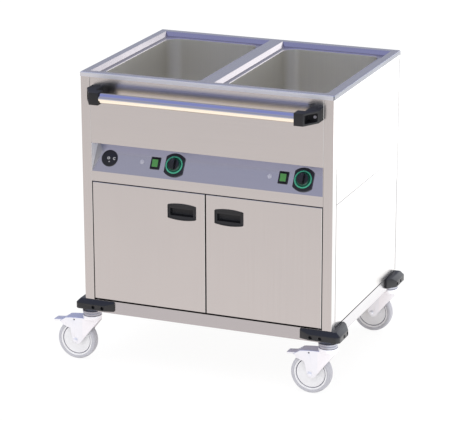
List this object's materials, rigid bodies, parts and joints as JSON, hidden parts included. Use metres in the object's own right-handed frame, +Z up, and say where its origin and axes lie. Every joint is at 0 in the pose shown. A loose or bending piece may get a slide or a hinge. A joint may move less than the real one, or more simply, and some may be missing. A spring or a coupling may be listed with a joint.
{
  "type": "mobile bain-marie",
  "caption": "Stainless bain-marie trolley with two deep wells, push bar, sloped control panel, cupboard with two doors and swivel castors",
  "frame": {"origin": "on the floor under the middle of the worktop", "axes": "+X to the right seen from the doors, +Y to the rear, +Z up"},
  "size_m": [0.935, 0.694, 0.914],
  "materials": {
    "stainless_sheet": "fine brushed stainless sheet",
    "tank_steel": "matt pressed stainless",
    "polished_tube": "polished stainless tube",
    "black_plastic": "fine textured moulding",
    "green_plastic": "smooth translucent moulding",
    "ring_plastic": "smooth moulding",
    "lamp_lens": "clear grey lens",
    "zinc_steel": "bright zinc plating",
    "rim_plastic": "moulded",
    "tyre_rubber": "grey non-marking tread",
    "valve_brass": "turned",
    "heater_aluminium": "flat plate",
    "terminal_plastic": "moulded"
  },
  "bodies": {
    "cabinet": {"worktop": "stainless_sheet", "front_posts": "stainless_sheet", "rear_posts": "stainless_sheet", "side_panels_left": "stainless_sheet", "side_panels_right": "stainless_sheet", "rear_panel": "stainless_sheet", "front_fascia": "stainless_sheet", "control_panel": "stainless_sheet", "cupboard_ceiling": "stainless_sheet", "cupboard_floor": "stainless_sheet", "chassis": "stainless_sheet", "tank_left": "tank_steel", "tank_right": "tank_steel", "push_bar": "polished_tube", "drain_manifold": "polished_tube", "corner_bumpers": "black_plastic", "push_bar_bracket_left": "black_plastic", "push_bar_bracket_right": "black_plastic", "switch_housings": "black_plastic", "thermostat_bezels": "black_plastic", "magnetic_catches": "black_plastic", "cable_gland": "black_plastic", "thermostats": "black_plastic", "thermostat_rings": "ring_plastic", "pilot_lamps": "lamp_lens", "screws": "zinc_steel", "hinge_pins": "zinc_steel", "castor_kingpins": "zinc_steel", "drain_valve": "valve_brass", "heater_plates": "heater_aluminium", "terminal_block": "terminal_plastic"},
    "door_left": {"door_left_skin": "stainless_sheet", "door_left_liner": "stainless_sheet", "door_left_grip": "black_plastic"},
    "door_right": {"door_right_skin": "stainless_sheet", "door_right_liner": "stainless_sheet", "door_right_grip": "black_plastic"},
    "thermostat_knob_left": {"thermostat_knob_left": "black_plastic"},
    "thermostat_knob_right": {"thermostat_knob_right": "black_plastic"},
    "rocker_left": {"rocker_left": "green_plastic"},
    "rocker_right": {"rocker_right": "green_plastic"},
    "drain_knob": {"drain_knob": "black_plastic"},
    "castor_front_left_fork": {"castor_front_left_fork": "zinc_steel", "castor_front_left_axle": "zinc_steel"},
    "castor_front_left_wheel": {"castor_front_left_rim": "rim_plastic", "castor_front_left_tyre": "tyre_rubber"},
    "castor_front_left_pedal": {"castor_front_left_pedal": "zinc_steel"},
    "castor_front_right_fork": {"castor_front_right_fork": "zinc_steel", "castor_front_right_axle": "zinc_steel"},
    "castor_front_right_wheel": {"castor_front_right_rim": "rim_plastic", "castor_front_right_tyre": "tyre_rubber"},
    "castor_front_right_pedal": {"castor_front_right_pedal": "zinc_steel"},
    "castor_rear_left_fork": {"castor_rear_left_fork": "zinc_steel", "castor_rear_left_axle": "zinc_steel"},
    "castor_rear_left_wheel": {"castor_rear_left_rim": "rim_plastic", "castor_rear_left_tyre": "tyre_rubber"},
    "castor_rear_right_fork": {"castor_rear_right_fork": "zinc_steel", "castor_rear_right_axle": "zinc_steel"},
    "castor_rear_right_wheel": {"castor_rear_right_rim": "rim_plastic", "castor_rear_right_tyre": "tyre_rubber"}
  },
  "joints": [
    {"name": "door_left_hinge", "type": "hinge", "parent": "cabinet", "child": "door_left", "pos_m": [-0.3565, -0.297, 0.2075], "axis": [0, 0, -1], "range_deg": [0, 105]},
    {"name": "door_right_hinge", "type": "hinge", "parent": "cabinet", "child": "door_right", "pos_m": [0.3565, -0.297, 0.2075], "axis": [0, 0, 1], "range_deg": [0, 105]},
    {"name": "thermostat_turn_left", "type": "hinge", "parent": "cabinet", "child": "thermostat_knob_left", "pos_m": [-0.1065, -0.27908, 0.64926], "axis": [0, 0.8536, -0.521], "range_deg": [0, 270]},
    {"name": "thermostat_turn_right", "type": "hinge", "parent": "cabinet", "child": "thermostat_knob_right", "pos_m": [0.2995, -0.27908, 0.64926], "axis": [0, 0.8536, -0.521], "range_deg": [0, 270]},
    {"name": "rocker_tip_left", "type": "hinge", "parent": "cabinet", "child": "rocker_left", "pos_m": [-0.1685, -0.27652, 0.64769], "axis": [-1, 0, 0], "range_deg": [0, 14]},
    {"name": "rocker_tip_right", "type": "hinge", "parent": "cabinet", "child": "rocker_right", "pos_m": [0.2375, -0.27652, 0.64769], "axis": [-1, 0, 0], "range_deg": [0, 14]},
    {"name": "drain_turn", "type": "hinge", "parent": "cabinet", "child": "drain_knob", "pos_m": [-0.318, -0.27908, 0.64926], "axis": [0, 0.8536, -0.521], "range_deg": [0, 90]},
    {"name": "castor_front_left_swivel", "type": "hinge", "parent": "cabinet", "child": "castor_front_left_fork", "pos_m": [-0.383, -0.287, 0.164], "axis": [0, 0, 1], "continuous": true},
    {"name": "castor_front_left_roll", "type": "hinge", "parent": "castor_front_left_fork", "child": "castor_front_left_wheel", "pos_m": [-0.433, -0.287, 0.0625], "axis": [0, 1, 0], "continuous": true},
    {"name": "castor_front_left_brake", "type": "hinge", "parent": "castor_front_left_fork", "child": "castor_front_left_pedal", "pos_m": [-0.4355, -0.287, 0.13], "axis": [0, -1, 0], "range_deg": [0, 12]},
    {"name": "castor_front_right_swivel", "type": "hinge", "parent": "cabinet", "child": "castor_front_right_fork", "pos_m": [0.383, -0.287, 0.164], "axis": [0, 0, 1], "continuous": true},
    {"name": "castor_front_right_roll", "type": "hinge", "parent": "castor_front_right_fork", "child": "castor_front_right_wheel", "pos_m": [0.333, -0.287, 0.0625], "axis": [0, 1, 0], "continuous": true},
    {"name": "castor_front_right_brake", "type": "hinge", "parent": "castor_front_right_fork", "child": "castor_front_right_pedal", "pos_m": [0.3305, -0.287, 0.13], "axis": [0, -1, 0], "range_deg": [0, 12]},
    {"name": "castor_rear_left_swivel", "type": "hinge", "parent": "cabinet", "child": "castor_rear_left_fork", "pos_m": [-0.383, 0.281, 0.164], "axis": [0, 0, 1], "continuous": true},
    {"name": "castor_rear_left_roll", "type": "hinge", "parent": "castor_rear_left_fork", "child": "castor_rear_left_wheel", "pos_m": [-0.433, 0.281, 0.0625], "axis": [0, 1, 0], "continuous": true},
    {"name": "castor_rear_right_swivel", "type": "hinge", "parent": "cabinet", "child": "castor_rear_right_fork", "pos_m": [0.383, 0.281, 0.164], "axis": [0, 0, 1], "continuous": true},
    {"name": "castor_rear_right_roll", "type": "hinge", "parent": "castor_rear_right_fork", "child": "castor_rear_right_wheel", "pos_m": [0.333, 0.281, 0.0625], "axis": [0, 1, 0], "continuous": true}
  ]
}
